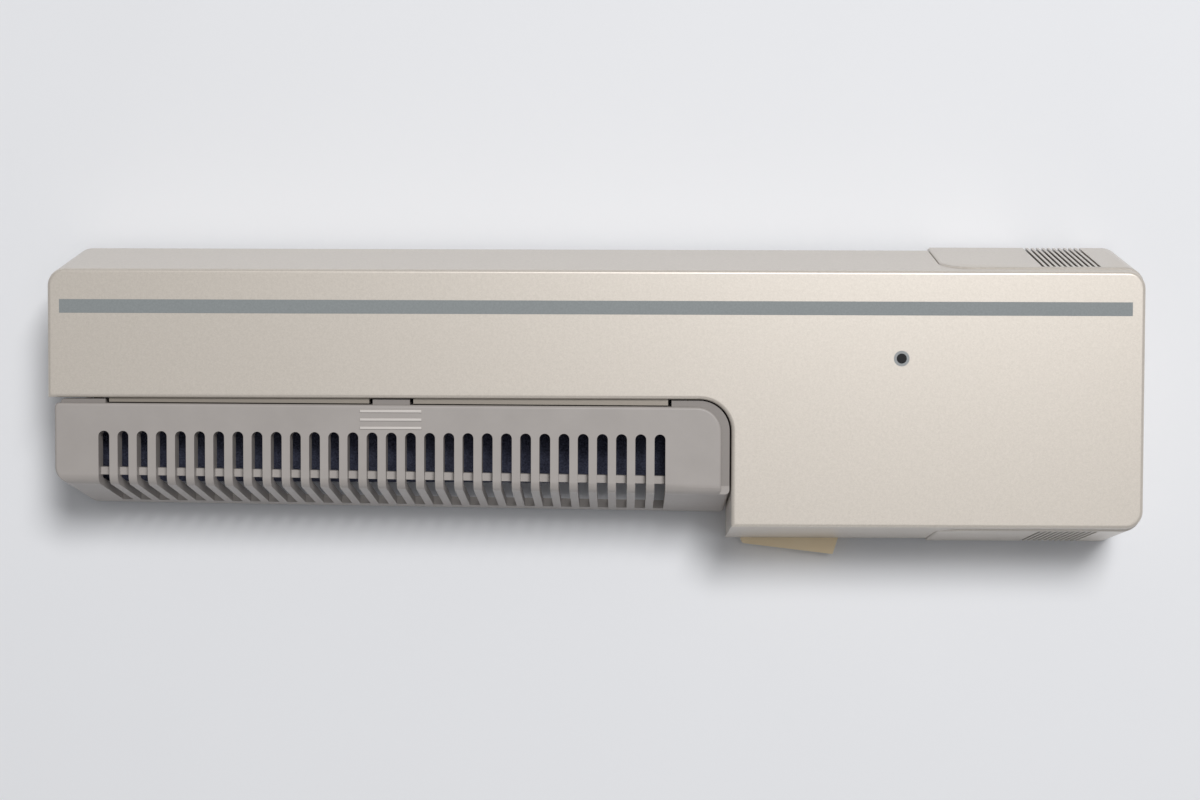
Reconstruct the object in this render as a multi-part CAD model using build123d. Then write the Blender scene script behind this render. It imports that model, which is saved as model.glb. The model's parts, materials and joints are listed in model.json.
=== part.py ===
from build123d import *

import math
import os

# A self-propelled record cleaner, in millimetres.
# It stands over a turntable's spindle with its arm across the record. A motor in the block turns a
# velvet roller under a louvred cover, and a rubber tyre at the arm's end, so that it walks round.
# The origin is the spindle's axis at the record's surface. +X runs to the battery end, +Y to the
# plain long side and +Z up to the face.

# Housing, in plan and in height
face_height = 27.0  # the face above the record
arm_end = 7.0  # tyre's middle to the arm's far end
face_back = 15.9  # spindle axis to the face's plain long edge
arm_width = 23.5
block_reach = 30.9  # spindle axis to the block's wall beside the brush cover
draft_angle = 10.4  # lean of the two long sides, in degrees
corner_radius = 3.2
recess_radius = 5.8
edge_radius = 0.7  # rounding round the face
wall = 2.0
screw_boss_gap = 0.5  # screw bosses to the walls
shell_foot = 4.0  # lower edge of the shell's walls

# Base plate
plate_low = 2.6
plate_thickness = 2.0
nest_gap = 0.15  # base plate to the shell's walls
boss_radius = 2.4
screw_radius = 1.0
screw_head_radius = 2.0
screw_head_height = 1.2
screw_length = 9.0
post_thickness = 1.5  # of the bearing posts
post_head = 3.2  # radius of a bearing post's head
far_post_gap = 4.7  # tyre's middle to the drive axle's outermost post
middle_post = 90.5
bracket_width = 1.8
bracket_gap = 0.4  # cover's end wall to the roller's bracket
far_screw = 128.0  # spindle axis to the screws in the arm
middle_screw = 62.0
hub_screw_x = 2.3  # the two screws beside the hub
front_screw_x = 1.5
cheek = 2.0  # thickness of the idler's cheeks
window_gap = 0.5  # wheels to the edges of their windows

# Brush cover
cover_left_step = 1.2  # arm's end to the cover's end
cover_right_gap = 1.8  # block wall to the cover's face
cover_gap_left = 1.0  # arm to cover face, at the far end
cover_gap_right = 1.4
cover_depth_left = 14.55  # cover face from its back edge to the bend
cover_depth_right = 15.75
cover_draft_angle = 12.9  # lean of the cover's slope, in degrees
cover_bend_radius = 2.0  # between the cover's face and its slope
cover_foot = 3.0
cover_wall = 1.6
cover_corner = 4.6
cover_end_radius = 2.9
cover_small_radius = 0.8
cover_rim_radius = 0.5
flange_drop = 1.2  # rim step below the cover's face
flange_thickness = 1.4
fit_gap = 0.25  # cover's flange to the arm
flange_end_gap = 0.3  # cover's flange to the block
flange_end_step = 0.9  # cover's left end to its flange
inner_corner = 3.0  # of the cover's cavity
skirt_depth = 7.0  # of the cover's back wall
slot_count = 30
slot_pitch = 3.51
slot_width = 2.0
slot_setback = 5.05  # cover's back edge to the slots
slot_floor = 6.0  # height at which the slots end
first_slot_inset = 9.05  # cover's left end to the first slot's middle
fin_depth = 3.8
fin_rib_width = 1.4
fin_rib_setback = 2.1  # bend to the middle of the rib behind the fins
fin_rib_top = 2.2  # cover face down to that rib
fin_rib_height = 1.8
ridge_count = 3
ridge_length = 11.3
ridge_width = 0.5
ridge_height = 0.25
ridge_pitch = 1.53
ridge_setback = 1.15
latch_centre = 93.2  # spindle axis to the latch tab and its ridges
latch_width = 6.8
tongue_inset = 9.8  # cover's ends to the shell's tongues
tongue_gap = 0.65
tongue_thickness = 2.6
tongue_reach = 0.2  # tongues to the cover's face, short of the gap

# Velvet roller
brush_radius = 8.0
velvet_pile = 1.1
velvet_inset = 0.5  # core's ends to the sleeve's
brush_lift = 0.3  # roller to record
brush_gap = 0.8  # roller to the arm's wall
brush_inner_end = 42.0  # from the spindle axis, just inside the first groove
brush_rim_reach = 1.4  # roller's outer end past the tyre's middle
axle_radius = 1.0
running_gap = 0.04
slot_gap = 1.0  # axle to the slots that it passes

# Traction tyre and drive axle
tyre_radius = 9.0
tyre_thickness = 1.8
tyre_width = 4.0
wheel_boss = 1.0  # length of the hub beside the wheel
wheel_boss_wall = 1.6
tyre_track = 149.0  # spindle axis to the tyre's middle, on the record's rim
drive_offset = 20.4  # roller's axis to the drive axle, in plan

# Idler wheel under the block
idler_radius = 4.0
idler_tyre_thickness = 1.0
idler_width = 4.0
idler_track = 19.0
idler_side = 7.9  # face's front edge to the idler's axle
idler_axle_radius = 0.8

# Gears
gear_module = 0.5
addendum_factor = 0.8  # stub teeth
root_clearance_factor = 0.25
tooth_thinning = 0.06
pressure_angle = 20.0
brush_teeth = 16
drive_teeth = 20
transfer_teeth = 28
wheel_teeth = 36
pinion_teeth = 12
gear_width = 2.4
wheel_width = 2.0
gear_side_gap = 0.6
gear_hub_radius = 2.6
pinion_hub_radius = 2.2
axle_end = 0.2  # what the axles stand past their gears
plate_sheet = 1.2  # thickness of the gear plates
plate_margin = 4.0  # gear plates' edges beyond the outer holes
train_inset = 2.3  # block wall's outer face to the left gear plate
train_lead = 1.9  # left plate to the first gear
train_width = 13.9  # between the gear plates
pinion_bearing = 12.0  # direction from transfer gear to belt pulley, in degrees

# Belt drive and motor
pulley_roof_gap = 0.6  # pulley to the housing's roof
pulley_groove = 1.0
pulley_width = 3.0
pulley_plate_gap = 1.6  # pulley to the right gear plate
motor_pulley_radius = 2.5
motor_shaft_radius = 0.75
belt_section = 1.2
belt_gap = 0.05
motor_radius = 7.75
motor_flat = 12.0  # between the case's two flats
motor_end_gap = 0.3  # motor's rear end to the bulkhead
motor_side = 11.4  # face's front edge to the motor's axis
motor_boss_radius = 2.4
motor_floor_gap = 0.2
shaft_in_case = 2.8

# Spindle hub
spindle_bore = 3.65
hub_wall = 1.85
hub_depth = 12.0
hub_roof = 1.6
hub_flange_step = 0.5  # hub's rim beyond its wall
hub_gap = 0.1  # hub's rim to the bulkhead
hub_flange = 1.2

# Battery end
lid_drop = 2.6  # face to the lid's rim
lid_corner = 5.8
lid_wall = 1.8
lid_floor = 1.4
lid_foot = 2.2
lid_proud = 0.3
lid_rim_bevel = 0.4
seam_gap = 0.15
slide_gap = 0.2
rail_height = 2.4
rail_width = 1.2
grip_count = 11
grip_pitch = 1.03
grip_width = 0.5
grip_depth = 0.8
grip_start = 18.3  # lid's seam to the first grip groove
grip_rim = 1.0  # lid's rim to the grooves' ends
cell_radius = 5.25
cell_length = 43.7
cell_nub = 0.8
cell_nub_radius = 1.9
cell_count = 3
cell_gap = 0.8
tray_floor = 1.2
board_thickness = 0.8
board_overhang = 0.25  # boards past the face's long edges, below which the sides lean out
board_top = 12.0
contact_sheet = 0.3
spring_depth = 2.2  # room for a contact spring behind each cell
spring_half = 3.0
spring_width = 3.0
spring_slack = 0.02
cell_side_gap = 0.4  # bulkhead to the first cell
contact_height = 6.0
bulkhead = 1.4
bulkhead_top = 18.0

# Switch lever
lever_length = 18.7
lever_low = 1.3
lever_top = 3.8
lever_left = 27.9  # spindle axis to the lever's left end
lever_reach_left = 1.1  # beyond the shell's edge
lever_reach_right = 3.2
lever_root = 4.2  # shell's edge to the lever's inner edge
lever_slant = 1.0
lever_nose_radius = 0.8
lever_travel = 8.0  # degrees
pivot_inset_x = 2.4
pivot_inset_y = 4.9
pivot_eye_radius = 2.1
pivot_radius = 1.0
pivot_head = 0.5
pivot_boss_radius = 2.2
pivot_hold = 8.0  # the pin's length in its boss
spring_turns = 2
spring_radius = 1.85
spring_wire = 0.45
spring_room = 3.2
leaf_sheet = 0.2
finger_inset = 13.1  # lever's left end to the finger that closes the switch
finger_width = 2.0
finger_thickness = 0.8
finger_height = 3.2
switch_block = 1.6  # thickness of the switch's insulating block
switch_height = 4.6
switch_gap = 0.25  # finger to the leaf at the end of its travel

# Places that follow from the sizes above
draft = math.tan(math.radians(draft_angle))
cover_draft = math.tan(math.radians(cover_draft_angle))
arm_reach = tyre_track + arm_end
brush_outer_end = tyre_track + brush_rim_reach
board_half = (cell_length + cell_nub + spring_depth) / 2 + contact_sheet  # middle to a board's inner face
face_width = 2 * (board_half - board_overhang)
face_front = face_back - face_width
arm_front = face_back - arm_width
middle_y = face_back - face_width / 2
body_left = -arm_reach
block_left = -block_reach
plate_top = plate_low + plate_thickness
past = 5.0  # how far a cutting shape runs past what it cuts

brush_y = arm_front - brush_gap - brush_radius
brush_z = brush_lift + brush_radius
drive_axis_y = brush_y + drive_offset
drive_z = tyre_radius
idler_axis_y = face_front + idler_side
motor_axis_y = face_front + motor_side
axle_slot_radius = axle_radius + slot_gap

left_plate_x = block_left + train_inset
right_plate_x = left_plate_x + plate_sheet + train_width
gear_x = left_plate_x + plate_sheet + train_lead
wheel_x = gear_x + gear_width + 2 * gear_side_gap
pulley_x = right_plate_x - pulley_plate_gap - pulley_width

lid_rim = face_height - lid_drop
tray_low = lid_foot + lid_floor + slide_gap
tray_top = tray_low + tray_floor
hub_flange_radius = spindle_bore + hub_wall + hub_flange_step
bulkhead_x = hub_flange_radius + hub_gap
lid_start = bulkhead_x + bulkhead + slide_gap
motor_length = bulkhead_x - motor_end_gap - right_plate_x - plate_sheet
cell_x = bulkhead_x + bulkhead + cell_side_gap + cell_radius
cell_z = tray_top + 0.15 + cell_radius
cell_pitch = 2 * cell_radius + cell_gap
tray_end = cell_x + (cell_count - 1) * cell_pitch + cell_radius + cell_gap + board_thickness
battery_reach = tray_end + slide_gap + lid_wall - lid_proud

cover_left = body_left + cover_left_step
cover_right = block_left - cover_right_gap
cover_length = cover_right - cover_left
motor_z = plate_top + motor_flat / 2 + motor_floor_gap
lever_edge_y = face_front - draft * (face_height - shell_foot)
pivot_x = -lever_left + pivot_inset_x
pivot_y = lever_edge_y + pivot_inset_y
pin_top = lever_top + spring_room + pivot_hold
finger_x = -lever_left + finger_inset


def box(x_low, x_high, y_low, y_high, z_low, z_high):
    """Box between two corners."""
    size = Box(x_high - x_low, y_high - y_low, z_high - z_low)
    return Pos((x_low + x_high) / 2, (y_low + y_high) / 2, (z_low + z_high) / 2) * size


def across(x, y, z):
    """Plane square to the X axis, whose own axes run along +Y and +Z."""
    return Plane(origin=(x, y, z), x_dir=(0, 1, 0), z_dir=(1, 0, 0))


def rod(x_low, x_high, y, z, radius, bore=0.0):
    """Round bar or tube that lies along the X axis."""
    section = Circle(radius)
    if bore > 0:
        section -= Circle(bore)
    return extrude(across(x_low, y, z) * section, x_high - x_low)


def post(x, y, z_low, z_high, radius, bore=0.0):
    """Upright round bar or tube."""
    section = Circle(radius)
    if bore > 0:
        section -= Circle(bore)
    return extrude(Pos(x, y, z_low) * section, z_high - z_low)


def outline_face(points, z):
    """Flat face through corner points of the plan, at a height."""
    return Pos(0, 0, z) * make_face(Polyline(*points, close=True))


def rounded_plan(x_low, x_high, y_low, y_high, radius):
    """Rounded rectangle between two corners of the plan."""
    size = RectangleRounded(x_high - x_low, y_high - y_low, radius)
    return Pos((x_low + x_high) / 2, (y_low + y_high) / 2) * size


def leaning_prism(plan, z_low, z_high, lean):
    """Plan at the upper height drawn down to the lower one, while it moves along Y by lean per height."""
    length = (z_high - z_low) * math.hypot(1, lean)
    return extrude(Pos(0, 0, z_high) * plan, length, dir=Vector(0, lean, -1).normalized())


def side_front(z, inset=0.0):
    """Y of the drafted front side at a height, moved in by an inset."""
    return face_front - draft * (face_height - z) + inset


def side_back(z, inset=0.0):
    """Y of the drafted back side at a height, moved in by an inset."""
    return face_back + draft * (face_height - z) - inset


# Housing
def housing_outline(z, inset):
    """The housing's full rounded rectangle at a height."""
    radius = max(corner_radius - inset, 1.0)
    ends = (body_left + inset, battery_reach - inset)
    return Pos(0, 0, z) * rounded_plan(*ends, side_front(z, inset), side_back(z, inset), radius)


def housing_block(z_low, z_high, inset=0.0):
    """The housing's block, solid, between two heights: what its two leaning long sides share."""
    radius = max(corner_radius - inset, 1.0)
    ends = (body_left + inset, battery_reach - inset)
    front = side_front(z_high, inset)
    back = side_back(z_high, inset)
    far = draft * face_height + corner_radius + past
    front_half = leaning_prism(rounded_plan(*ends, front, back + far, radius), z_low, z_high, -draft)
    return front_half & leaning_prism(rounded_plan(*ends, front - far, back, radius), z_low, z_high, draft)


def recess_block(growth, z_low, z_high):
    """The corner that the brush cover fills; growth moves its two walls into the housing."""
    x_high = block_left + growth
    y_high = arm_front + growth
    x_low = body_left - past
    y_low = side_front(0) - past
    plan = Pos((x_low + x_high) / 2, (y_low + y_high) / 2) * Rectangle(x_high - x_low, y_high - y_low)
    corner = plan.vertices().sort_by(lambda v: v.X + v.Y)[-1]
    plan = fillet(corner, recess_radius + growth)
    return extrude(Pos(0, 0, z_low) * plan, z_high - z_low)


def lid_zone(gap, z_low):
    """Everything below the lid's rim and beyond its seam, with the seam's rounded corner."""
    x_low = lid_start - gap
    x_high = battery_reach + 2 * past
    z_high = lid_rim + gap
    plane = Plane(origin=(0, side_front(0) - past, 0), x_dir=(1, 0, 0), z_dir=(0, -1, 0))
    width = side_back(0) - side_front(0) + 2 * past
    profile = Pos((x_low + x_high) / 2, (z_low + z_high) / 2) * Rectangle(x_high - x_low, z_high - z_low)
    corner = profile.vertices().sort_by(lambda v: v.Y - v.X)[-1]
    profile = fillet(corner, lid_corner + gap)
    return extrude(plane * profile, -width)


def screw_places():
    """Plan positions of the four housing screws."""
    arm_y = face_back - wall - boss_radius - screw_boss_gap
    block_y = side_front(plate_top, wall) + boss_radius + screw_boss_gap
    return [(-far_screw, arm_y), (-middle_screw, arm_y), (hub_screw_x, arm_y), (front_screw_x, block_y)]


def tongue_spans():
    """Ends, along X, of the two ledges on the arm's wall."""
    latch_left = -latch_centre - latch_width / 2 - tongue_gap
    latch_right = -latch_centre + latch_width / 2 + tongue_gap
    return [(cover_left + tongue_inset, latch_left), (latch_right, cover_right - tongue_inset)]


def tongue_plan(low, high, offset, y_high, z):
    """Plan between two ends, from just off the cover's back edge to a straight line."""
    near = [(x, cover_back_y(x) + offset) for x in (low, high)]
    return outline_face([*near, (high, y_high), (low, y_high)], z)


def tongues():
    """Two ledges on the arm's wall that fill the gaps in the cover's flange."""
    bottom = face_height - flange_drop - tongue_thickness
    root = arm_front + wall / 2
    return [
        extrude(tongue_plan(low, high, tongue_reach, root, bottom), tongue_thickness)
        for low, high in tongue_spans()
    ]


def axle_slot(x_low, x_high):
    """Slot, open at the foot, through which the roller's axle passes a wall."""
    slot = rod(x_low, x_high, brush_y, brush_z, axle_slot_radius)
    return slot + box(x_low, x_high, brush_y - axle_slot_radius, brush_y + axle_slot_radius, -past, brush_z)


def make_top_shell():
    outer = housing_block(shell_foot, face_height) - recess_block(0, 0, face_height + past)
    outer = fillet(outer.edges().group_by(Axis.Z)[-1], edge_radius)
    cavity = housing_block(shell_foot - 1, face_height - wall, wall)
    cavity -= recess_block(wall, 0, face_height + past)
    shell = outer - cavity - lid_zone(seam_gap, -past)

    # bosses for the screws and the lever's pin, held inside the drafted walls
    room = housing_block(plate_top, face_height - wall / 2, wall / 2)
    boss_top = face_height - wall / 2
    pivot_boss = post(pivot_x, pivot_y, pin_top - pivot_hold + 0.6, boss_top, pivot_boss_radius)
    bosses = [post(x, y, plate_top, boss_top, boss_radius) for x, y in screw_places()]
    shell += [boss & room for boss in bosses + [pivot_boss]]
    shell -= [post(x, y, 0, plate_low + screw_length + 1, screw_radius) for x, y in screw_places()]
    shell -= post(pivot_x, pivot_y, 0, pin_top, pivot_radius)

    # rails that the lid's walls slide along
    rail_low = face_height - wall - rail_height
    lid_inset = lid_wall - lid_proud + slide_gap
    rail_right = battery_reach - corner_radius
    front_y = side_front(rail_low, lid_inset) + draft * rail_height
    back_y = side_back(rail_low, lid_inset) - draft * rail_height
    rail_top = face_height - wall / 2
    shell += box(lid_start + 1, rail_right, front_y, front_y + rail_width, rail_low, rail_top)
    shell += box(lid_start + 1, rail_right, back_y - rail_width, back_y, rail_low, rail_top)

    shell += tongues()
    return shell - axle_slot(block_left - 1, block_left + wall + 1)


# Base plate, with the battery tray, bearing posts and roller bracket
def bearing_post(x_low, x_high, y, z, z_low):
    """Upright with a round head in which an axle turns."""
    shape = rod(x_low, x_high, y, z, post_head) + box(x_low, x_high, y - post_head, y + post_head, z_low, z)
    return shape - rod(x_low, x_high, y, z, axle_radius + running_gap)


def drive_post_places():
    """X of the left faces of the arm's two bearing posts."""
    return [-tyre_track - far_post_gap, -middle_post]


def bracket_x():
    """X of the left face of the roller's bracket."""
    return cover_left + cover_wall + bracket_gap


def lever_cutout():
    """Space under the shell's edge in which the lever swings."""
    left = -lever_left - 0.9
    right = -lever_left + lever_length + 0.9
    inner = lever_edge_y + lever_root + 0.35
    swing = lever_length * math.sin(math.radians(lever_travel))
    outer = lever_edge_y - past
    points = [(left, outer), (right, outer), (right, inner + swing), (pivot_x, inner), (left, inner)]
    space = extrude(outline_face(points, 0), plate_top + past)
    return space + post(pivot_x, pivot_y, 0, plate_top + past, pivot_eye_radius + 0.35)


def idler_axle_ends():
    """X of the two ends of the idler's axle, inside its cheeks."""
    half = idler_width / 2 + window_gap + cheek - 0.5
    return (-idler_track - half, -idler_track + half)


def make_base_plate():
    inset = wall + nest_gap
    plan = housing_outline(plate_top, inset)
    plate = extrude(Pos(0, 0, plate_low - plate_top) * plan, plate_thickness)
    plate -= recess_block(inset, 0, plate_top + past)
    plate -= box(bulkhead_x, battery_reach + past, side_front(0), side_back(0), 0, plate_top + past)

    # battery tray, bulkhead and the two contact boards
    front = middle_y - board_half - board_thickness
    back = middle_y + board_half + board_thickness
    tray = box(bulkhead_x, tray_end, front, back, tray_low, tray_top)
    room = housing_block(plate_low, bulkhead_top, inset)
    bulkhead_right = bulkhead_x + bulkhead
    plate += box(bulkhead_x, bulkhead_right, side_front(0), side_back(0), plate_low, bulkhead_top) & room
    board_left = lid_start + seam_gap
    tray += box(board_left, tray_end, front, front + board_thickness, tray_low, board_top)
    tray += box(board_left, tray_end, back - board_thickness, back, tray_low, board_top)
    tray += box(tray_end - board_thickness, tray_end, front, back, tray_low, cell_z - 2.0)
    plate += tray & housing_block(plate_low, bulkhead_top, lid_wall - lid_proud + slide_gap)

    # roller bracket on a finger that reaches under the arm's wall
    finger_left = bracket_x()
    finger_right = finger_left + bracket_width
    finger_top = shell_foot - 0.2
    plate += box(finger_left, finger_right, brush_y - post_head, arm_front + wall + 3, plate_low, finger_top)
    plate += bearing_post(finger_left, finger_left + post_thickness, brush_y, brush_z, plate_low)
    for x in drive_post_places():
        plate += bearing_post(x, x + post_thickness, drive_axis_y, drive_z, plate_low)

    # windows for the tyre, the hub and the idler wheel, and the cheeks of the idler's axle
    tyre_left = -tyre_track - tyre_width / 2 - window_gap
    tyre_right = -tyre_track + tyre_width / 2 + window_gap
    tyre_span = tyre_radius + window_gap
    tyre_low_y = max(drive_axis_y - tyre_span, arm_front + inset + 1)
    plate -= box(tyre_left, tyre_right, tyre_low_y, drive_axis_y + tyre_span, 0, plate_top)
    plate -= post(0, 0, 0, plate_top + 1, spindle_bore + hub_wall + 0.1)
    idler_left = -idler_track - idler_width / 2 - window_gap
    idler_right = -idler_track + idler_width / 2 + window_gap
    near_y = idler_axis_y - idler_radius - window_gap
    far_y = idler_axis_y + idler_radius + window_gap
    cheek_top = idler_radius + cheek
    front_y = idler_axis_y - cheek
    back_y = idler_axis_y + cheek
    plate += box(idler_left - cheek, idler_right + cheek, front_y, back_y, plate_low, cheek_top)
    plate -= box(idler_left, idler_right, near_y, far_y, 0, cheek_top + 1)
    plate -= rod(*idler_axle_ends(), idler_axis_y, idler_radius, idler_axle_radius)
    plate -= lever_cutout()
    plate -= gear_pockets()
    for x, y in screw_places():
        plate -= post(x, y, 0, plate_top + 1, screw_radius)
        plate -= Pos(x, y, plate_low) * screw_head()
    return plate


def gear_pockets():
    """Hollows in the plate's upper side in which the gears turn."""
    spans = [
        (gear_x, gear_width, brush_centre, brush_teeth),
        (gear_x, gear_width, drive_centre, drive_teeth),
        (wheel_x, wheel_width, transfer_centre, wheel_teeth),
    ]
    side = gear_side_gap * 0.75
    pockets = []
    for x, width, centre, teeth in spans:
        pockets.append(rod(x - side, x + width + side, *centre, tip_radius(teeth) + 0.4))
    return pockets


def screw_head():
    """Flat head, sunk in the plate, its lower side at the origin."""
    return post(0, 0, 0, screw_head_height, screw_head_radius)


def make_housing_screws():
    """Four screws with cross recesses."""
    recess = Box(2.2, 0.5, 1.2) + Box(0.5, 2.2, 1.2)
    screw = screw_head() + post(0, 0, 0, screw_length, screw_radius) - recess
    return [Pos(x, y, plate_low) * screw for x, y in screw_places()]


def make_spindle_hub():
    """Blind socket for the turntable's spindle, whose rim rests on the record's label."""
    radius = spindle_bore + hub_wall
    top = hub_depth + hub_roof
    profile = Polyline(
        (spindle_bore, 0),
        (radius, 0),
        (radius, plate_top),
        (hub_flange_radius, plate_top),
        (hub_flange_radius, plate_top + hub_flange),
        (radius, plate_top + hub_flange),
        (radius, top),
        (0, top),
        (0, hub_depth),
        (spindle_bore, hub_depth),
        close=True,
    )
    return revolve(Plane.XZ * make_face(profile), Axis.Z)


# Brush cover
def cover_share(x):
    """Place along the cover, 0 at its left end and 1 at its right."""
    return (x - cover_left) / cover_length


def cover_back_y(x):
    """Y of the cover face's back edge, which leaves the arm's edge slightly towards the block."""
    return arm_front - cover_gap_left - (cover_gap_right - cover_gap_left) * cover_share(x)


def bend_y(x):
    """Y of the bend between the cover's face and its slope."""
    depth = cover_depth_left + (cover_depth_right - cover_depth_left) * cover_share(x)
    return cover_back_y(x) - depth


def cover_block(z_low, z_high, ends, back_offsets, front_offset, radius):
    """The cover's block, solid, between two heights: an upright back half and a leaning front half."""
    left, right = ends
    far = cover_draft * face_height + corner_radius + past
    drop = cover_draft * (face_height - z_high)
    back = [(x, cover_back_y(x) + offset) for x, offset in zip(ends, back_offsets)]
    front = [(x, bend_y(x) - drop + front_offset) for x in (right, left)]
    upright = FilletPolyline(
        *back,
        *[(x, y - far) for x, y in front],
        radius=[cover_small_radius, radius, cover_small_radius, cover_small_radius],
        close=True,
    )
    leaning = FilletPolyline(
        *[(x, y + far) for x, y in back],
        *front,
        radius=[cover_small_radius, cover_small_radius, cover_small_radius, cover_end_radius],
        close=True,
    )
    back_half = extrude(Pos(0, 0, z_low) * make_face(upright), z_high - z_low)
    return back_half & leaning_prism(make_face(leaning), z_low, z_high, -cover_draft)


def bend_cutter():
    """What the round bend takes off the sharp edge between the cover's face and its slope."""
    left = cover_left - past
    run = (bend_y(cover_right) - bend_y(cover_left)) / cover_length
    plane = Plane(origin=(left, bend_y(left), face_height), x_dir=(-run, 1, 0), z_dir=(1, run, 0))
    lean = math.atan(cover_draft / math.hypot(1, run))
    reach = cover_bend_radius * math.tan((math.pi / 2 - lean) / 2)
    half = (math.pi / 2 + lean) / 2
    middle = (
        reach - cover_bend_radius * math.cos(half),
        -cover_bend_radius + cover_bend_radius * math.sin(half),
    )
    foot = (-reach * math.sin(lean), -reach * math.cos(lean))
    arc = ThreePointArc((reach, 0), middle, foot)
    rest = Polyline(foot, (-past, foot[1]), (-past, past), (reach, past), (reach, 0))
    return extrude(plane * make_face([arc, rest]), (cover_length + 2 * past) * math.hypot(1, run))


def slot_centres():
    """X of the middle of each slot."""
    first = cover_left + first_slot_inset
    return [first + k * slot_pitch for k in range(slot_count)]


def slot_cutter(x):
    """One slot: a round end on the face, straight walls, and a level floor in the slope."""
    half = slot_width / 2
    start = cover_back_y(x) - slot_setback
    end = bend_y(x) - past - cover_draft * face_height
    sides = Polyline((x + half, start - half), (x + half, end), (x - half, end), (x - half, start - half))
    top = ThreePointArc((x - half, start - half), (x, start), (x + half, start - half))
    return extrude(Pos(0, 0, slot_floor) * make_face([sides, top]), face_height + past)


def make_brush_cover():
    outer = cover_block(cover_foot, face_height, (cover_left, cover_right), (0, 0), 0, cover_corner)
    outer = fillet(outer.edges().group_by(Axis.Z)[-1], cover_rim_radius) - bend_cutter()
    flange_top = face_height - flange_drop
    flange_right = block_left - flange_end_gap
    flange_ends = (cover_left + flange_end_step, flange_right)
    reaches = (cover_gap_left - fit_gap, cover_gap_right - fit_gap)
    outer += cover_block(cover_foot, flange_top, flange_ends, reaches, 0, recess_radius - fit_gap)

    inner_left = cover_left + cover_wall
    inner_right = flange_right - cover_wall - 0.4
    cavity_ends = (inner_left, inner_right)
    cavity_top = face_height - cover_wall
    inward = (-cover_wall, -cover_wall)
    cover = outer - cover_block(cover_foot - 1, cavity_top, cavity_ends, inward, cover_wall, inner_corner)

    # the fins are deeper than the cover's wall
    slots = slot_centres()
    fin_left = slots[0] - slot_pitch
    fin_right = slots[-1] + slot_pitch
    pad_top = face_height - cover_wall / 2
    pad = box(fin_left, fin_right, side_front(0), arm_front, face_height - fin_depth, pad_top)
    pad_ends = (cover_left + 1, cover_right)
    pad_back = (1 - slot_setback, 1 - slot_setback)
    cover += pad & cover_block(cover_foot, pad_top, pad_ends, pad_back, 0.5, inner_corner)

    # back skirt ends above the roller, and the flange is a thin rim there
    skirt_foot = face_height - skirt_depth
    skirt_y = cover_back_y(cover_right) - cover_wall - 0.5
    cover -= box(inner_left, inner_right, skirt_y, arm_front + past, -past, skirt_foot)
    rim_foot = flange_top - flange_thickness
    rim_y = cover_back_y(cover_left) + 0.001
    cover -= box(cover_left - 1, inner_right - recess_radius, rim_y, arm_front + past, -past, rim_foot)
    for low, high in tongue_spans():
        room = tongue_plan(low - tongue_gap, high + tongue_gap, 0.001, arm_front + past, -past)
        cover -= extrude(room, face_height + 2 * past)

    cover -= [slot_cutter(x) for x in slots]
    cover += fin_rib(fin_left, fin_right)
    cover += ridges()
    return cover - axle_slot(inner_right - 1, block_left)


def fin_rib(left, right):
    """Rib that ties the fins together just behind the slots."""
    half = fin_rib_width / 2
    points = [
        (left, bend_y(left) + fin_rib_setback - half),
        (right, bend_y(right) + fin_rib_setback - half),
        (right, bend_y(right) + fin_rib_setback + half),
        (left, bend_y(left) + fin_rib_setback + half),
    ]
    top = face_height - fin_rib_top
    return extrude(outline_face(points, top - fin_rib_height), fin_rib_height)


def ridges():
    """Finger ridges beside the latch tab, rounded on top."""
    shapes = []
    for k in range(ridge_count):
        y = cover_back_y(-latch_centre) - ridge_setback - k * ridge_pitch
        left = -latch_centre - ridge_length / 2
        right = -latch_centre + ridge_length / 2
        low_y = y - ridge_width / 2
        bar = box(left, right, low_y, low_y + ridge_width, face_height - 0.4, face_height + ridge_height)
        shapes.append(fillet(bar.edges().group_by(Axis.Z)[-1], ridge_height * 0.6))
    return shapes


# Velvet roller
def make_brush_core():
    """Moulded core, fast on its axle."""
    return rod(-brush_outer_end, -brush_inner_end, brush_y, brush_z, brush_radius - velvet_pile, axle_radius)


def make_brush_velvet():
    """Velvet sleeve round the core."""
    radius = brush_radius - velvet_pile
    left = -brush_outer_end + velvet_inset
    right = -brush_inner_end - velvet_inset
    sleeve = rod(left, right, brush_y, brush_z, brush_radius, radius)
    ends = sleeve.edges().filter_by(GeomType.CIRCLE).sort_by(lambda e: -e.radius)[:2]
    return chamfer(ends, 0.5)


def make_brush_axle():
    left = bracket_x() + 0.1
    right = gear_x + gear_width + axle_end
    return rod(left, right, brush_y, brush_z, axle_radius)


# Gears
def tooth_half_angle(teeth, radius):
    """Half the angle that a tooth fills at a radius, for an involute flank."""
    pitch = gear_module * teeth / 2
    base = pitch * math.cos(math.radians(pressure_angle))
    at_pitch = (math.pi * gear_module / 2 - tooth_thinning) / (2 * pitch)
    angle = math.acos(min(base / max(radius, base), 1.0))
    start = math.radians(pressure_angle)
    return at_pitch + (math.tan(start) - start) - (math.tan(angle) - angle)


def tip_radius(teeth):
    """Radius over the teeth."""
    return gear_module * (teeth / 2 + addendum_factor)


def gear_face(teeth, phase):
    """Outline of a spur gear with one tooth's middle at the phase angle, in radians."""
    tip = tip_radius(teeth)
    root = gear_module * teeth / 2 - (addendum_factor + root_clearance_factor) * gear_module
    points = []
    for n in range(teeth):
        middle = phase + 2 * math.pi * n / teeth
        for side, order in ((-1, (root, tip)), (1, (tip, root))):
            for radius in order:
                angle = middle + side * tooth_half_angle(teeth, radius)
                points.append((radius * math.cos(angle), radius * math.sin(angle)))
    return make_face(Polyline(*points, close=True))


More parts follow.
